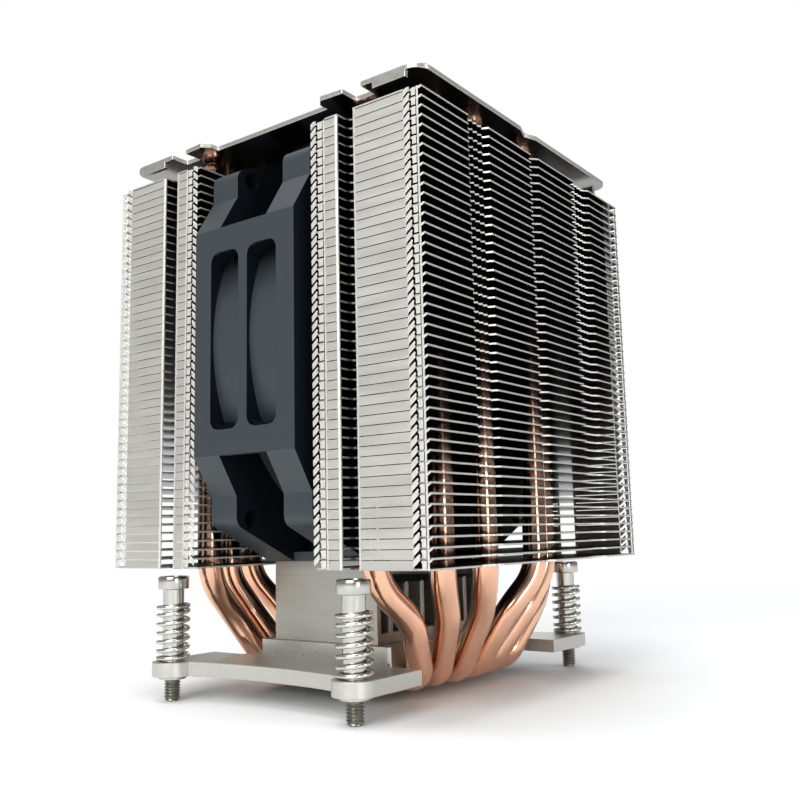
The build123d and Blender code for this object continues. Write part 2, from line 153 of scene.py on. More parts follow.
def material(name, color, metallic=0.0, roughness=0.5, grain=0.0, grain_scale=900.0,
             stretch=(1, 1, 1), bump=0.0, spread=0.0, coat=0.0):
    """A principled material with procedural variation in tone, roughness and height."""
    m = bpy.data.materials.new(name)
    m.use_nodes = True
    tree = m.node_tree
    shader = tree.nodes["Principled BSDF"]
    shader.inputs["Base Color"].default_value = (*color, 1)
    shader.inputs["Metallic"].default_value = metallic
    shader.inputs["Roughness"].default_value = roughness
    shader.inputs["Coat Weight"].default_value = coat
    where = tree.nodes.new("ShaderNodeTexCoord")
    mapping = tree.nodes.new("ShaderNodeMapping")
    mapping.inputs["Scale"].default_value = stretch
    tree.links.new(where.outputs["Object"], mapping.inputs["Vector"])
    noise = tree.nodes.new("ShaderNodeTexNoise")
    noise.inputs["Scale"].default_value = grain_scale
    noise.inputs["Detail"].default_value = GRAIN_DETAIL
    tree.links.new(mapping.outputs["Vector"], noise.inputs["Vector"])
    if grain:
        tone = tree.nodes.new("ShaderNodeMapRange")
        tone.inputs["To Min"].default_value = roughness - grain
        tone.inputs["To Max"].default_value = roughness + grain
        tree.links.new(noise.outputs["Fac"], tone.inputs["Value"])
        tree.links.new(tone.outputs["Result"], shader.inputs["Roughness"])
    if spread:
        ramp = tree.nodes.new("ShaderNodeValToRGB")
        ramp.color_ramp.elements[0].position = SPREAD_RANGE[0]
        ramp.color_ramp.elements[1].position = SPREAD_RANGE[1]
        ramp.color_ramp.elements[0].color = (*[c * (1 - spread) for c in color], 1)
        ramp.color_ramp.elements[1].color = (*[min(1, c * (1 + spread)) for c in color], 1)
        tree.links.new(noise.outputs["Fac"], ramp.inputs["Fac"])
        tree.links.new(ramp.outputs["Color"], shader.inputs["Base Color"])
    if bump:
        lift = tree.nodes.new("ShaderNodeBump")
        lift.inputs["Strength"].default_value = bump
        lift.inputs["Distance"].default_value = BUMP_HEIGHT * MM
        tree.links.new(noise.outputs["Fac"], lift.inputs["Height"])
        tree.links.new(lift.outputs["Normal"], shader.inputs["Normal"])
    return m


fin_metal = material(
    "fin_nickel", NICKEL, metallic=0.7, roughness=0.42,
    grain=0.08, grain_scale=500, stretch=(1, 0.15, 1), bump=0.12, spread=0.05)
# Painted shade: a near-black copy of the fins' nickel for the underside of every fin
fin_under_shade = material(
    "fin_underside_painted_shade", (0.06, 0.06, 0.066), metallic=1.0, roughness=0.12,
    grain=0.03, grain_scale=300)
fin_shade = material(
    "fin_shade", (0.1, 0.1, 0.096), metallic=0.7, roughness=0.42,
    grain=0.05, grain_scale=500)
lock_metal = material(
    "lock_nickel", (0.74, 0.73, 0.68), metallic=0.5, roughness=0.36,
    grain=0.08, grain_scale=700, bump=0.15, spread=0.05)
plate_metal = material(
    "plate_nickel", (0.60, 0.595, 0.55), metallic=0.85, roughness=0.3,
    grain=0.08, grain_scale=900, stretch=(0.08, 1, 1), bump=0.12, spread=0.04)
wing_metal = material(
    "wing_nickel", (0.56, 0.555, 0.515), metallic=0.75, roughness=0.4,
    grain=0.08, grain_scale=900, stretch=(0.08, 1, 1), bump=0.12, spread=0.04)
# Painted shade: the cover's underside is a darker, warmer copy of its nickel
cover_under_shade = material(
    "cover_underside_painted_shade", (0.3, 0.28, 0.27), metallic=1.0, roughness=0.15,
    grain=0.04, grain_scale=400)
sink_metal = material(
    "sink_aluminium", (0.47, 0.46, 0.42), metallic=0.8, roughness=0.4,
    grain=0.08, grain_scale=1200, stretch=(1, 0.05, 1), bump=0.3, spread=0.05)
copper = material(
    "copper", (0.83, 0.47, 0.31), metallic=1.0, roughness=0.16,
    grain=0.05, grain_scale=350, stretch=(1, 1, 0.25), bump=0.1, spread=0.06, coat=0.6)
copper_shade = material(
    "copper_shade", (0.30, 0.17, 0.11), metallic=1.0, roughness=0.12,
    grain=0.04, grain_scale=350, stretch=(1, 1, 0.25), bump=0.1, spread=0.06, coat=0.6)
steel = material(
    "steel", (0.52, 0.515, 0.48), metallic=1.0, roughness=0.17,
    grain=0.05, grain_scale=700, bump=0.1, spread=0.04)
spring_steel = material(
    "spring_steel", (0.66, 0.65, 0.6), metallic=0.95, roughness=0.2,
    grain=0.06, grain_scale=700, bump=0.1, spread=0.04)
thread_steel = material(
    "thread_steel", (0.3, 0.29, 0.25), metallic=0.95, roughness=0.3,
    grain=0.08, grain_scale=700, bump=0.15, spread=0.1)
fan_plastic = material(
    "fan_plastic", PLASTIC, roughness=0.45,
    grain=0.05, grain_scale=1500, bump=0.2, spread=0.05)
# Painted shade on the fan frame: its faces between the flanges, in its holes and slots and towards the
# front tower, and the slots' sides
fan_shade_plastic = material(
    "fan_shade_plastic", SHADE_PLASTIC, roughness=0.55,
    grain=0.05, grain_scale=1500, bump=0.15, spread=0.05)
fan_shade_plastic.node_tree.nodes["Principled BSDF"].inputs["Specular IOR Level"].default_value = DULL_SPECULAR
bronze = material("bronze", (0.40, 0.19, 0.05), metallic=1.0, roughness=0.4, grain=0.05)
board = material("board", (0.028, 0.10, 0.045), roughness=0.45, grain=0.05)
magnet = material("magnet", (0.023, 0.021, 0.019), roughness=0.7, grain=0.05)
inner_looks = {"bronze": bronze, "steel": steel, "board": board, "magnet": magnet}


# Meshes

class Shape:
    """Vertices in millimetres, faces and their material numbers."""

    def __init__(self):
        self.points, self.faces, self.marks, self.smooth = [], [], [], []

    def add(self, points, faces, mark=0, smooth=False):
        start = len(self.points)
        self.points += [Vector(p) for p in points]
        self.faces += [[start + i for i in f] for f in faces]
        self.marks += [mark] * len(faces) if isinstance(mark, int) else mark
        self.smooth += [smooth] * len(faces)

    def piece(self, name, materials, body, replaced=()):
        mesh = bpy.data.meshes.new(name)
        mesh.from_pydata([p * MM for p in self.points], [], self.faces)
        for m in materials:
            mesh.materials.append(m)
        mesh.polygons.foreach_set("material_index", self.marks)
        mesh.polygons.foreach_set("use_smooth", self.smooth)
        mesh.update()
        o = bpy.data.objects.new(name, mesh)
        bpy.context.scene.collection.objects.link(o)
        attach(o, body)
        if replaced:
            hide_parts(*replaced)
        return o


def prism(outline, low, high):
    """Points and faces of an outline of (x, y) raised from low to high."""
    n = len(outline)
    points = [(x, y, low) for x, y in outline] + [(x, y, high) for x, y in outline]
    sides = [[i, (i + 1) % n, n + (i + 1) % n, n + i] for i in range(n)]
    return points, sides + [list(range(n))[::-1], list(range(n, 2 * n))]


def beveled(points, faces, width):
    """The same closed form with all its edges bevelled."""
    bm = bmesh.new()
    made = [bm.verts.new(p) for p in points]
    for f in faces:
        bm.faces.new([made[i] for i in f])
    bmesh.ops.recalc_face_normals(bm, faces=bm.faces)
    bmesh.ops.bevel(bm, geom=list(bm.edges), offset=width, segments=1,
                    affect="EDGES", clamp_overlap=True)
    bm.verts.index_update()
    result = [v.co.copy() for v in bm.verts], [[v.index for v in f.verts] for f in bm.faces]
    bm.free()
    return result


def rings(count, sides):
    """Faces between rings of points, each with the given number of sides."""
    faces = []
    for row in range(count - 1):
        for k in range(sides):
            a, b = row * sides + k, row * sides + (k + 1) % sides
            faces.append([a, b, b + sides, a + sides])
    return faces


def spun(profile, sides):
    """Points and faces of a (radius, z) profile turned about Z."""
    points = []
    for r, z in profile:
        for k in range(sides):
            a = 2 * math.pi * k / sides
            points.append((r * math.cos(a), r * math.sin(a), z))
    return points, rings(len(profile), sides)


def tube(path, radii, sides):
    """Points and faces of a round bar along a path, with one radius for each point."""
    points, tangents = [], []
    for i in range(len(path)):
        ahead = path[min(i + 1, len(path) - 1)] - path[max(i - 1, 0)]
        tangents.append(ahead.normalized())
    across = tangents[0].orthogonal().normalized()
    for p, t, r in zip(path, tangents, radii):
        across = (across - t * across.dot(t)).normalized()
        up = t.cross(across)
        for k in range(sides):
            a = 2 * math.pi * k / sides
            points.append(p + (across * math.cos(a) + up * math.sin(a)) * r)
    last = (len(path) - 1) * sides
    ends = [list(range(sides))[::-1], [last + k for k in range(sides)]]
    return points, rings(len(path), sides) + ends


def smooth_by_angle(o, angle=35):
    """Marks edges sharper than the angle, so that smooth faces stay crisp there."""
    bm = bmesh.new()
    bm.from_mesh(o.data)
    limit = math.radians(angle)
    for e in bm.edges:
        e.smooth = len(e.link_faces) == 2 and e.calc_face_angle(0) < limit
    bm.to_mesh(o.data)
    bm.free()


# Fin stacks: teeth, folds and interlocking tabs

# Material numbers of a fin's faces: plain nickel, painted shade on the undersides, tabs and rims, and
# painted shade in the channel and on the tops
FLAT, UNDERSIDE_SHADE, TAB, SHADE = range(4)


def half_outline():
    """Half of a fin's outline for x from 0 out, with y measured from the fan outwards."""
    side = STACK_X - SIDE_INSET
    cut_back = STACK_X - LOCK_DEPTH
    points = [(NOTCH_HALF_W[0], OUTER_Y - NOTCH_D), (NOTCH_HALF_W[1], OUTER_Y)]
    points.append((COMB_START_X, OUTER_Y))
    for x in TOOTH_X:
        points += [(x, OUTER_Y - TOOTH_D[0]), (x + TOOTH_W, OUTER_Y - TOOTH_D[1])]
    points += [(x, OUTER_Y - depth) for x, depth in COMB_END]
    points += [
        (STACK_X - FIN_CORNER[0], OUTER_Y),
        (cut_back, OUTER_Y - FIN_CORNER[1]),
        (cut_back, OUTER_LOCK[0]),
        (side, OUTER_LOCK[0]),
        (side, CHANNEL_Y[1]),
    ]
    points += [(CHANNEL_X + out, CHANNEL_Y[1] - along) for out, along in CHANNEL_CORNER]
    points += [(CHANNEL_X + out, CHANNEL_Y[0] + along) for out, along in CHANNEL_CORNER[::-1]]
    points += [
        (side, CHANNEL_Y[0]),
        (side, INNER_LOCK[1]),
        (cut_back, INNER_LOCK[1]),
        (cut_back, INNER_Y),
    ]
    return points


def fold(low, high, rim_is_low):
    """The folded flange of one fin between low and high, and the rounded rim at one end."""
    inner, outer = STACK_X - FIN_T, STACK_X - SKIN
    if rim_is_low:
        rim = (low, low + RIM)
        flat = (rim[1], high)
    else:
        rim = (high - RIM, high)
        flat = (low, rim[0])
    block = prism([(inner, flat[0]), (outer, flat[0]), (outer, flat[1]), (inner, flat[1])],
                  SKIN, FIN_PITCH - SEAM)
    points, faces = beveled(*block, FOLD_EDGE)
    for p in points:
        p.x -= LEAN * p.z / FIN_PITCH
    middle = (rim[0] + rim[1]) / 2
    deep, shallow = STACK_X - RIM_CORNER[0], STACK_X - RIM_CORNER[1]
    if rim_is_low:
        arc = [(deep, rim[0]), (shallow, rim[0] + RIM_EASE), (STACK_X, middle),
               (STACK_X, rim[1]), (inner, rim[1])]
    else:
        arc = [(inner, rim[0]), (STACK_X, rim[0]), (STACK_X, middle),
               (shallow, rim[1] - RIM_EASE), (deep, rim[1])]
    return [(points, faces, FLAT), (*prism(arc, 0, FIN_PITCH), TAB)]


def lock_outlines(low, high):
    """The slanted tab, the plain strip and the rim of one fin in an interlocking column,
    in (y, z)."""
    seam = low + TAB_W
    top = FIN_PITCH
    peak = top + TAB_RISE
    slanted = [
        (low + 0.1, 0.75),
        (low + 0.9, TAB_FOOT + TAB_RISE * 0.55),
        (seam - TAB_GAP, TAB_FOOT + TAB_RISE),
        (seam - TAB_GAP, peak - 0.75),
        (seam - 0.05, peak - 0.35),
        (seam - 0.3, peak - 0.1),
        (low + 0.7, top + TAB_RISE * 0.45),
        (low, top - 0.05),
    ]
    strip = [
        (seam + STRIP_GAP, STRIP_FOOT),
        (seam + STRIP_GAP, top - 0.75),
        (seam + 0.08, top - 0.4),
        (seam + STRIP_GAP, top - 0.1),
        (high - STRIP_END, top - 0.1),
        (high - STRIP_END, STRIP_FOOT),
    ]
    rim_y = high - LOCK_RIM_W
    rim = [(rim_y, LOCK_RIM_FOOT), (rim_y, top), (high, top), (high, LOCK_RIM_FOOT)]
    return slanted, strip, rim


def locking_tabs(low, high):
    """The tabs of one fin between low and high, laid against the side of the stack."""
    tabs = []
    for flat in lock_outlines(low, high):
        points, faces = prism(flat, STACK_X - LOCK_T, STACK_X)
        turned = [(x, y, z) for y, z, x in points]
        tabs.append((*beveled(turned, faces, LOCK_EDGE), TAB))
    return tabs


def hook():
    """The slanted bar from the rim of one fin to the outer corner of the next."""
    bar = [(0, -HOOK_HALF_H), (HOOK_W, -HOOK_HALF_H), (HOOK_W, HOOK_HALF_H), (0, HOOK_HALF_H)]
    root = (STACK_X - HOOK_W, OUTER_LOCK[1] - HOOK_ROOT_INSET, FIN_PITCH - HOOK_ROOT_DROP)
    tip = (STACK_X - HOOK_TIP_IN, OUTER_Y - SKIN, FIN_PITCH + HOOK_TIP_RISE)
    points = [(end[0] + x, end[1], end[2] + z) for end in (root, tip) for x, z in bar]
    return points, prism(bar, 0, 1)[1], TAB


def edge_marks(outline):
    """A material number for each edge of a fin: the channel's edges are in the shade."""
    marks = []
    for (x0, y0), (x1, y1) in zip(outline, outline[1:] + outline[:1]):
        y = abs(y0 + y1) / 2
        in_channel = CHANNEL_Y[0] <= y <= CHANNEL_Y[1]
        inside = in_channel and max(abs(x0), abs(x1)) < CHANNEL_MOUTH_X
        marks.append(SHADE if inside else FLAT)
    return marks


def fin_stack(name, sign, node):
    """sign is -1 for the front tower and 1 for the rear one."""
    right = half_outline()
    outline = right + [(-x, y) for x, y in reversed(right)]
    outline = [(x, sign * y) for x, y in outline]
    if sign > 0:
        outline.reverse()
    # Each fin's bottom face gets painted shade, and its top the darker painted shade of the channel
    marks = edge_marks(outline) + [UNDERSIDE_SHADE, SHADE]
    forms = fold(*WIDE_FOLD, True) + fold(*NARROW_FOLD, False)
    forms += locking_tabs(*OUTER_LOCK) + locking_tabs(*INNER_LOCK) + [hook()]
    ceiling = FIN_BOTTOM + (FIN_COUNT - 1) * FIN_PITCH + FIN_T
    shape = Shape()
    for i in range(FIN_COUNT):
        z = FIN_BOTTOM + i * FIN_PITCH
        shape.add(*prism(outline, z, z + FIN_T), marks)
        if i == FIN_COUNT - 1:
            continue
        for points, faces, mark in forms:
            for side in (-1, 1):
                moved = [(side * p[0], sign * p[1], min(p[2] + z, ceiling)) for p in points]
                turned = faces if side * sign > 0 else [f[::-1] for f in faces]
                shape.add(moved, turned, mark, True)
    o = shape.piece(name, [fin_metal, fin_under_shade, lock_metal, fin_shade], "cooler", [node])
    smooth_by_angle(o)


fin_stack("front_fins", -1, "front_fin_stack")
fin_stack("rear_fins", 1, "rear_fin_stack")


# Heat pipes: straight runs on the part's lines, with the photograph's wider bends

PIPE_R = 3.0
PIPE_SIDES = 32
PIPE_SMOOTH = 50
PIPE_PITCH = 7.5
PIPE_Z = 2.6
FOOT_Y = (24.7, 24.0, 24.3)
ELBOW_XY = ((6.0, 33.0), (17.9, 31.4), (27.7, 28.6))
ELBOW_Z = 16.4
SHOULDER_Z = 25.2
TOWER_XY = ((11.8, 38.0), (23.4, 34.0), (37.5, 26.0))
BENDS = (13.0, 16.0, 5.0)
TIP_DOME = ((0.0, 1.4), (0.12, 1.9), (0.45, 2.35), (0.95, 2.7), (1.6, 2.92), (2.4, 3.0))
SHADE_START = FIN_BOTTOM + 0.5
ARC_STEP = 0.12


def rounded_path(corners, radii):
    """Points along a polyline whose inner corners are arcs of the given radii."""
    path = [corners[0]]
    for i, r in zip(range(1, len(corners) - 1), radii):
        into = (corners[i] - corners[i - 1]).normalized()
        away = (corners[i + 1] - corners[i]).normalized()
        angle = into.angle(away)
        reach = r * math.tan(angle / 2)
        start = corners[i] - into * reach
        centre_way = (away - into).normalized()
        centre = corners[i] + centre_way * (r / math.cos(angle / 2))
        axis = into.cross(away).normalized()
        count = max(3, round(angle / ARC_STEP))
        for k in range(count + 1):
            turn = Matrix.Rotation(angle * k / count, 3, axis)
            path.append(centre + turn @ (start - centre))
    path.append(corners[-1])
    return path


def heat_pipe(number):
    """A pipe from tip to tip, flat at the contact face and darker between the fins."""
    node = f"heat_pipe_{number + 1}"
    side = -1 if number < 3 else 1
    rank = 2 - number if number < 3 else number - 3
    tip_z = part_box(node)[1].z / MM
    tower_x, tower_y = TOWER_XY[rank]
    rear = [
        Vector((side * (rank + 0.5) * PIPE_PITCH, FOOT_Y[rank], PIPE_Z)),
        Vector((side * ELBOW_XY[rank][0], ELBOW_XY[rank][1], ELBOW_Z)),
        Vector((side * tower_x, tower_y, SHOULDER_Z)),
        Vector((side * tower_x, tower_y, tip_z)),
    ]
    front = [Vector((p.x, -p.y, p.z)) for p in reversed(rear)]
    path = rounded_path(front + rear, BENDS + BENDS[::-1])
    start = [path[0] - Vector((0, 0, drop)) for drop, _ in TIP_DOME]
    end = [path[-1] - Vector((0, 0, drop)) for drop, _ in reversed(TIP_DOME)]
    radii = [r for _, r in TIP_DOME]
    line = start + path[1:-1] + end
    radii = radii + [PIPE_R] * (len(path) - 2) + radii[::-1]
    points, faces = tube(line, radii, PIPE_SIDES)
    points = [Vector((p.x, p.y, max(p.z, 0))) for p in points]
    shape = Shape()
    heights = [sum(points[i].z for i in f) / len(f) for f in faces]
    marks = [1 if SHADE_START < z < STACK_TOP else 0 for z in heights]
    shape.add(points, faces, marks, True)
    o = shape.piece(f"pipe_{number + 1}", [copper, copper_shade], "cooler", [node])
    smooth_by_angle(o, PIPE_SMOOTH)


for number in range(6):
    heat_pipe(number)


# CAD pieces with rounded edges

CREASE = math.radians(28)
CLEAN_ANGLE = math.radians(1)
CLEAN_GAP = 0.002
EDGE_SEGMENTS = 2

# Fan frame, in millimetres: the height of its axis, and distances from that axis
FAN_Z = 80.815
FAN_HOLE = 41.25
HOLE_RIM_R = 2.4
SLOT_FLOOR = 47.1
SLOT_FLOOR_NEAR = 0.1
SLOT_HALF_Y = 10.7
GAP_HALF_Y = 7.6
GAP_R = 51.4

# Wings: the part's hollow edge, and the shallower one that replaces it
WAIST_R = 42.912
WAIST_CENTRE_X = 83.512
WAIST_END_Y = 28.8
WAIST_X = 43.7
WAIST_BOW = 3.2
WAIST_FLARE = 4.8
WAIST_NEAR = 0.03
WAIST_END_NEAR = 0.05


def facing_down(face):
    """True for a face that looks down, such as the cover's underside."""
    return face.normal.z < -0.9


def between_flanges(face):
    """True for the fan frame's faces that lie in the shade: between its flanges, in its
    holes and slots and towards the front tower."""
    centre = face.calc_center_median() / MM
    across = Vector((abs(centre.x), abs(centre.z - FAN_Z)))
    in_hole = (across - Vector((FAN_HOLE, FAN_HOLE))).length < HOLE_RIM_R
    in_gap = abs(centre.y) < GAP_HALF_Y and across.length < GAP_R and abs(face.normal.y) > 0.5
    at_floor = abs(max(across) - SLOT_FLOOR) < SLOT_FLOOR_NEAR
    slot_floor = at_floor and abs(centre.y) < SLOT_HALF_Y
    return in_hole or in_gap or slot_floor or face.normal.y < -0.5


def dressed(node, look, width, shade_look=None, picks=facing_down, fit=None):
    """A copy of a CAD node with clean faces, rounded edges and a material. picks says
    which faces get the second material, which paints shade on them, and fit moves points."""
    bm = bmesh.new()
    bm.from_mesh(nodes[node].data)
    bmesh.ops.remove_doubles(bm, verts=bm.verts, dist=CLEAN_GAP * MM)
    bmesh.ops.dissolve_limit(bm, angle_limit=CLEAN_ANGLE, verts=bm.verts, edges=bm.edges)
    if fit:
        for v in bm.verts:
            v.co = fit(v.co)
    mesh = bpy.data.meshes.new(node + "_look")
    if shade_look:
        for f in bm.faces:
            f.material_index = 1 if picks(f) else 0
    for f in bm.faces:
        f.smooth = True
    for e in bm.edges:
        e.smooth = len(e.link_faces) == 2 and e.calc_face_angle(0) < CREASE
    bm.to_mesh(mesh)
    bm.free()
    mesh.materials.append(look)
    if shade_look:
        mesh.materials.append(shade_look)
    o = bpy.data.objects.new(node + "_look", mesh)
    bpy.context.scene.collection.objects.link(o)
    if width:
        edge = o.modifiers.new("edge", "BEVEL")
        edge.width = width * MM
        edge.segments = EDGE_SEGMENTS
        edge.limit_method = "ANGLE"
        edge.angle_limit = CREASE
        edge.harden_normals = True
        edge.use_clamp_overlap = True
    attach(o, body_of[node])
    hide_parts(node)


def shallow_waist(point):
    """Moves the waist of a wing out, to the shallower edge read from the photograph."""
    x, y = abs(point.x) / MM, abs(point.y) / MM
    off_edge = abs(math.hypot(x - WAIST_CENTRE_X, y) - WAIST_R)
    if y > WAIST_END_Y - WAIST_END_NEAR or off_edge > WAIST_NEAR:
        return point
    t = y / WAIST_END_Y
    x = WAIST_X + WAIST_BOW * t ** 2 + WAIST_FLARE * t ** 12
    return Vector((math.copysign(x * MM, point.x), point.y, point.z))


dressed("base_block", plate_metal, 0.25)
for node in ("mounting_wing_left", "mounting_wing_right"):
    dressed(node, wing_metal, 0.13, fit=shallow_waist)
dressed("base_heatsink", sink_metal, 0.15)
dressed("top_cover", plate_metal, 0.2, cover_under_shade)
dressed("fan_frame", fan_plastic, 0.35, fan_shade_plastic, picks=between_flanges)
# The impeller takes the same near-black plastic as the painted shade
dressed("impeller", fan_shade_plastic, 0.15)


# Duct wall behind the frame's slots

PANEL_OUT = 51.5
SLOT_LIP = 0.45
DUCT_R = 50.7
SLOT_HALF_W = 4.57
SLOT_HALF_L = 20.97
SLOT_CORNER = 2.5
SLOT_ROWS = 24
SLOT_MIDDLES = (-6.0, 6.0)
# Painted shade on the duct wall, darker with distance above and below a level a little under the fan's
# axis
DUCT_FADE = 43
DUCT_FADE_DROP = 3
DUCT_RANGE = (0.1, 0.5)


def duct_shade_material():
    """The frame's plastic, with painted shade above and below the middle of the side slots."""
    m = material("fan_duct_shade", PLASTIC, roughness=0.45, grain=0.05, grain_scale=1500, bump=0.2)
    tree = m.node_tree
    where = tree.nodes.new("ShaderNodeTexCoord")
    level = tree.nodes.new("ShaderNodeMapping")
    level.inputs["Scale"].default_value = (0, 0, DUCT_FADE)
    level.inputs["Location"].default_value = (0, 0, -DUCT_FADE * (FAN_Z - DUCT_FADE_DROP) * MM)
    fade = tree.nodes.new("ShaderNodeTexGradient")
    fade.gradient_type = "SPHERICAL"
    ramp = tree.nodes.new("ShaderNodeValToRGB")
    ramp.color_ramp.elements[0].position = DUCT_RANGE[0]
    ramp.color_ramp.elements[0].color = (*SHADE_PLASTIC, 1)
    ramp.color_ramp.elements[1].position = DUCT_RANGE[1]
    ramp.color_ramp.elements[1].color = (*PLASTIC, 1)
    tree.links.new(where.outputs["Object"], level.inputs["Vector"])
    tree.links.new(level.outputs["Vector"], fade.inputs["Vector"])
    tree.links.new(fade.outputs["Fac"], ramp.inputs["Fac"])
    tree.links.new(ramp.outputs["Color"], tree.nodes["Principled BSDF"].inputs["Base Color"])
    return m


def slot_pockets():
    """The curved duct wall seen through the slots of the fan frame, with each slot's sides."""
    rows = [-SLOT_HALF_L + 2 * SLOT_HALF_L * i / SLOT_ROWS for i in range(SLOT_ROWS + 1)]
    edge = PANEL_OUT - SLOT_LIP
    shape = Shape()
    for turn in range(4):
        c, s = round(math.cos(turn * math.pi / 2)), round(math.sin(turn * math.pi / 2))
        for middle in SLOT_MIDDLES:
            points = []
            for u in rows:
                past = max(0.0, abs(u) - (SLOT_HALF_L - SLOT_CORNER))
                round_in = math.sqrt(max(0.0, SLOT_CORNER * SLOT_CORNER - past * past))
                w = SLOT_HALF_W - SLOT_CORNER + round_in
                deep = math.sqrt(DUCT_R * DUCT_R - u * u)
                for out, v in ((edge, -w), (deep, -w), (deep, w), (edge, w)):
                    points.append((c * out - s * u, middle + v, FAN_Z + s * out + c * u))
            sides, wall, last = [], [], 4 * SLOT_ROWS
            for row in range(SLOT_ROWS):
                a, b = 4 * row, 4 * row + 4
                sides += [[a, a + 1, b + 1, b], [a + 2, a + 3, b + 3, b + 2]]
                wall.append([a + 1, a + 2, b + 2, b + 1])
            sides += [[0, 3, 2, 1], [last, last + 1, last + 2, last + 3]]
            shape.add(points, wall, 0, True)
            # Each slot's sides get painted shade
            shape.add(points, sides, 1)
    return shape.piece("fan_slots", [duct_shade_material(), fan_shade_plastic], "cooler")


smooth_by_angle(slot_pockets())
for node in ("fan_bearing", "fan_stator", "fan_pcb", "fan_shaft", "magnet_ring"):
    dressed(node, inner_looks[slot_of[node]], 0)
for number in range(1, 5):
    dressed(f"retaining_clip_{number}", steel, 0.08)


# Captive screws and springs

SCREW_XY = ((-47, -28), (47, -28), (47, 28), (-47, 28))
SCREW_SIDES = 48
HEAD_R = 3.65
HEAD_H = 3.0
SHANK_R = 2.5
NECK_R = 1.45
NECK = (2.6, 3.3)
THREAD_TOP = 2.5
THREAD_R = 1.9
THREAD_PITCH = 0.7
THREAD_DEPTH = 0.42
THREAD_SLOPE = 1.25
THREAD_LAND = 0.12
THREAD_STEPS = 10
THREAD_SIDES = 40
THREAD_FADE_ROWS = 6
TIP_TAPER_H = 0.6
TIP_TAPER = 0.3
SPRING_R = 3.5
WIRE_R = 0.5
WIRE_SIDES = 14
SPRING_TURNS = 7.0
SPRING_STEPS = 320
SPRING_CLOSED_TURNS = 0.75
SPRING_CLOSED_RISE = 0.35
SPRING_LOW = 6.7
SPRING_HIGH = 20.1
SCREW_SMOOTH = 40
SPRING_SMOOTH = 50


def head_profile(top):
    """(radius, z) of the drive recess, head, shank and neck, from the middle outwards."""
    recess = [(0.0, top - 1.7), (0.5, top - 1.5), (2.0, top - 0.35), (2.1, top - 0.05)]
    head = [
        (2.2, top), (3.2, top), (3.5, top - 0.12), (3.63, top - 0.45), (HEAD_R, top - 0.6),
        (HEAD_R, top - 2.75), (3.58, top - 2.93), (3.4, top - HEAD_H), (2.7, top - HEAD_H),
    ]
    shank = [(2.52, top - 3.15), (SHANK_R, top - 3.4), (SHANK_R, 3.4), (2.4, NECK[1])]
    neck = [(NECK_R, NECK[1]), (NECK_R, NECK[0]), (1.85, NECK[0]), (THREAD_R, THREAD_TOP)]
    return recess + head + shank + neck


def thread(tip):
    """Points and faces of the thread from the neck down to the screw's tip."""
    length = THREAD_TOP - tip
    rows = round(length / THREAD_PITCH * THREAD_STEPS)
    points = []
    for row in range(rows + 1):
        z = THREAD_TOP - length * row / rows
        taper = min(1.0, (z - tip) / TIP_TAPER_H * TIP_TAPER + (1 - TIP_TAPER))
        fade = min(1.0, row / THREAD_FADE_ROWS)
        for k in range(THREAD_SIDES):
            phase = (z / THREAD_PITCH + k / THREAD_SIDES) % 1
            crest = abs(phase - 0.5) * 2
            cut = min(1.0, max(0.0, crest * THREAD_SLOPE - THREAD_LAND))
            r = THREAD_R - THREAD_DEPTH * cut * fade
            a = 2 * math.pi * k / THREAD_SIDES
            points.append((r * taper * math.cos(a), r * taper * math.sin(a), z))
    faces = [[b, a, d, c] for a, b, c, d in rings(rows + 1, THREAD_SIDES)]
    faces.append([rows * THREAD_SIDES + k for k in range(THREAD_SIDES)][::-1])
    return points, faces


def screw(number):
    """A captive screw with a turned head, shank and neck, and a thread below."""
    node = f"captive_screw_{number}"
    x, y = SCREW_XY[number - 1]
    low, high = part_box(node)
    shape = Shape()
    points, faces = spun(head_profile(high.z / MM), SCREW_SIDES)
    shape.add(points, [f[::-1] for f in faces], 0, True)
    shape.add(*thread(low.z / MM), 1, True)
    shape.points = [p + Vector((x, y, 0)) for p in shape.points]
    o = shape.piece(f"screw_{number}", [steel, thread_steel], f"screw_{number}", [node])
    smooth_by_angle(o, SCREW_SMOOTH)


def spring(number):
    """A coil with closed ends, around its screw."""
    node = f"spring_{number}"
    x, y = SCREW_XY[number - 1]
    weights = []
    for i in range(SPRING_STEPS + 1):
        turn = SPRING_TURNS * i / SPRING_STEPS
        from_end = min(turn, SPRING_TURNS - turn)
        weights.append(SPRING_CLOSED_RISE if from_end < SPRING_CLOSED_TURNS else 1.0)
    total = sum(weights[1:])
    height = SPRING_HIGH - SPRING_LOW - 2 * WIRE_R
    path, rise = [], 0.0
    for i in range(SPRING_STEPS + 1):
        rise += weights[i] / total * height if i else 0
        a = 2 * math.pi * SPRING_TURNS * i / SPRING_STEPS
        path.append(Vector((x + SPRING_R * math.cos(a), y + SPRING_R * math.sin(a),
                            SPRING_LOW + WIRE_R + rise)))
    shape = Shape()
    points, faces = tube(path, [WIRE_R] * len(path), WIRE_SIDES)
    shape.add(points, faces, 0, True)
    o = shape.piece(f"coil_{number}", [spring_steel], "cooler", [node])
    smooth_by_angle(o, SPRING_SMOOTH)
    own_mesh(o)


for number in range(1, 5):
    screw(number)
    spring(number)


# Floor, light and camera

FLOOR_HALF = 3
FLOOR_FADE_SCALE = 1.6
FLOOR_FADE = (0.25, 0.75)
CAMERA_CLIP = (0.01, 20)
WORLD_DIFFUSE = 0.2
WORLD_MIRRORED = 0.34


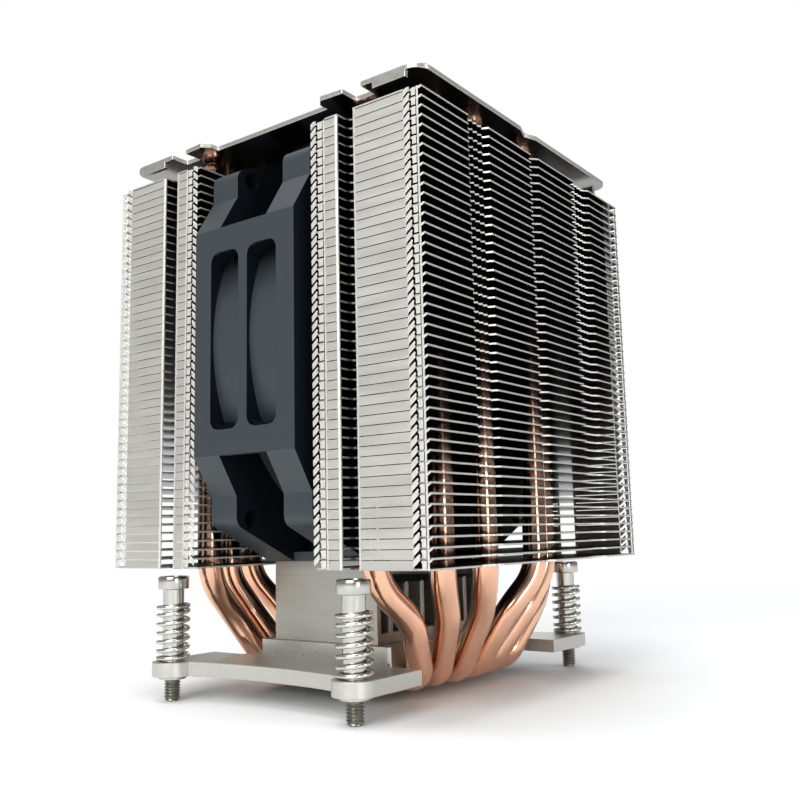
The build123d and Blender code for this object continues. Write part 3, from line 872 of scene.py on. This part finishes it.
def stage_material():
    """A pale matt floor that turns into the plain white surround away from the object."""
    m = material("floor", (0.96, 0.97, 0.98), roughness=0.6, grain=0.02, grain_scale=8)
    tree = m.node_tree
    shader = tree.nodes["Principled BSDF"]
    shader.inputs["Specular IOR Level"].default_value = DULL_SPECULAR
    where = tree.nodes.new("ShaderNodeTexCoord")
    shrink = tree.nodes.new("ShaderNodeMapping")
    shrink.inputs["Scale"].default_value = (FLOOR_FADE_SCALE,) * 3
    round_fade = tree.nodes.new("ShaderNodeTexGradient")
    round_fade.gradient_type = "SPHERICAL"
    fade = tree.nodes.new("ShaderNodeMapRange")
    fade.interpolation_type = "SMOOTHSTEP"
    fade.inputs["From Min"].default_value = FLOOR_FADE[0]
    fade.inputs["From Max"].default_value = FLOOR_FADE[1]
    fade.inputs["To Min"].default_value = 1
    fade.inputs["To Max"].default_value = 0
    white = tree.nodes.new("ShaderNodeEmission")
    white.inputs["Color"].default_value = (1, 1, 1, 1)
    white.inputs["Strength"].default_value = 1.0
    faded = tree.nodes.new("ShaderNodeMixShader")
    seen_only = tree.nodes.new("ShaderNodeMixShader")
    seen = tree.nodes.new("ShaderNodeLightPath")
    links = tree.links
    links.new(where.outputs["Object"], shrink.inputs["Vector"])
    links.new(shrink.outputs["Vector"], round_fade.inputs["Vector"])
    links.new(round_fade.outputs["Fac"], fade.inputs["Value"])
    links.new(fade.outputs["Result"], faded.inputs["Fac"])
    links.new(shader.outputs["BSDF"], faded.inputs[1])
    links.new(white.outputs["Emission"], faded.inputs[2])
    links.new(seen.outputs["Is Camera Ray"], seen_only.inputs["Fac"])
    links.new(shader.outputs["BSDF"], seen_only.inputs[1])
    links.new(faded.outputs["Shader"], seen_only.inputs[2])
    links.new(seen_only.outputs["Shader"], tree.nodes["Material Output"].inputs["Surface"])
    return m


floor_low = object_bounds()[0].z
floor_mesh = bpy.data.meshes.new("floor")
corners = [(x * FLOOR_HALF, y * FLOOR_HALF, 0) for x, y in ((-1, -1), (1, -1), (1, 1), (-1, 1))]
floor_mesh.from_pydata(corners, [], [[0, 1, 2, 3]])
floor = bpy.data.objects.new("floor", floor_mesh)
floor.location = (0, 0, floor_low)
bpy.context.scene.collection.objects.link(floor)
floor.data.materials.append(stage_material())


def softbox(name, place, target, size, power, color=(1, 1, 1)):
    """A rectangular lamp that points at its target, in metres and watts."""
    light = bpy.data.lights.new(name, "AREA")
    light.shape = "RECTANGLE"
    light.size, light.size_y = size
    light.energy = power
    light.color = color
    o = bpy.data.objects.new(name, light)
    o.location = Vector(place)
    way = Vector(target) - Vector(place)
    o.rotation_mode = "QUATERNION"
    o.rotation_quaternion = way.to_track_quat("-Z", "Y")
    bpy.context.scene.collection.objects.link(o)


softbox("key", (-0.8, -0.2, 0.5), (0, 0, 0.07), (0.65, 0.65), 7, (1, 0.99, 0.965))
softbox("front", (0.2, -0.9, 0.4), (0, 0, 0.06), (0.3, 0.4), 1.4, (1, 0.99, 0.97))
softbox("low", (-0.4, -0.95, 0.06), (0, 0, 0.08), (0.25, 0.14), 1.5, (1, 0.99, 0.97))
softbox("top", (-0.1, 0.05, 1.0), (0, 0, 0), (0.8, 0.8), 7.9)
softbox("back", (0.7, 0.5, 0.5), (0, 0, 0.07), (0.4, 0.4), 1.5)

world = bpy.data.worlds.new("world")
bpy.context.scene.world = world
world.use_nodes = True
tree = world.node_tree
tree.nodes.clear()
out = tree.nodes.new("ShaderNodeOutputWorld")
seen = tree.nodes.new("ShaderNodeLightPath")


def surround(strength, color=(1, 1, 1, 1)):
    """A plain background of the world for one kind of ray."""
    node = tree.nodes.new("ShaderNodeBackground")
    node.inputs["Color"].default_value = color
    node.inputs["Strength"].default_value = strength
    return node


mirrored = tree.nodes.new("ShaderNodeMixShader")
tree.links.new(seen.outputs["Is Glossy Ray"], mirrored.inputs["Fac"])
tree.links.new(surround(WORLD_DIFFUSE, (0.94, 0.97, 1, 1)).outputs["Background"], mirrored.inputs[1])
tree.links.new(surround(WORLD_MIRRORED).outputs["Background"], mirrored.inputs[2])
mix = tree.nodes.new("ShaderNodeMixShader")
tree.links.new(seen.outputs["Is Camera Ray"], mix.inputs["Fac"])
tree.links.new(mirrored.outputs["Shader"], mix.inputs[1])
tree.links.new(surround(1.0).outputs["Background"], mix.inputs[2])
tree.links.new(mix.outputs["Shader"], out.inputs["Surface"])

camera = bpy.data.objects.new("camera", bpy.data.cameras.new("camera"))
bpy.context.scene.collection.objects.link(camera)
bpy.context.scene.camera = camera
camera.data.sensor_width = SENSOR_MM
camera.data.lens = FOCAL_PX / FRAME_PX * SENSOR_MM
camera.data.clip_start, camera.data.clip_end = CAMERA_CLIP
forward = Vector((math.sin(YAW) * math.cos(PITCH), math.cos(YAW) * math.cos(PITCH),
                  math.sin(PITCH)))
level = Vector((math.cos(YAW), -math.sin(YAW), 0))
upward = level.cross(forward)
right = level * math.cos(ROLL) + upward * math.sin(ROLL)
up = upward * math.cos(ROLL) - level * math.sin(ROLL)
turned = Matrix((right, up, -forward)).transposed()
camera.matrix_world = Matrix.Translation(EYE) @ turned.to_4x4()
bpy.context.scene.view_settings.view_transform = "Standard"
